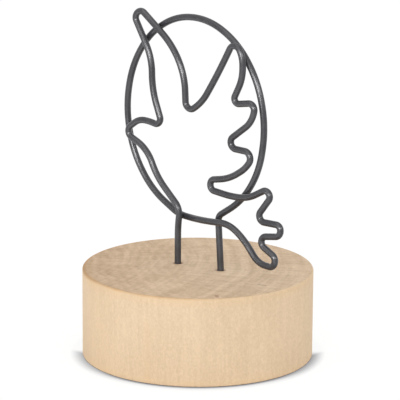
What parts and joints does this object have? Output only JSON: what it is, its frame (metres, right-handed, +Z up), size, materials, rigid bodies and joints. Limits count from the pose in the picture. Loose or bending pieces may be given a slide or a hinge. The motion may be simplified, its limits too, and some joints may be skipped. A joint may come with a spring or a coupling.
{
  "type": "wooden photo block holder",
  "caption": "Photo holder: a turned wood round with a bent wire dove in front of a wire oval, which grip a print between them.",
  "frame": {"origin": "centre of the round's flat base", "axes": "+Z up, X along the wire figure from its left leg to its right leg, the dove in front faces -Y"},
  "size_m": [0.0762, 0.0762, 0.113],
  "materials": {
    "wood": "fine sanded, clear matt finish",
    "wire_paint": "satin charcoal paint on steel wire",
    "glue": "cured brown glue"
  },
  "bodies": {
    "root": {"wood_block": "wood", "bent_wire": "wire_paint", "glue_left": "glue", "glue_right": "glue"}
  },
  "joints": []
}
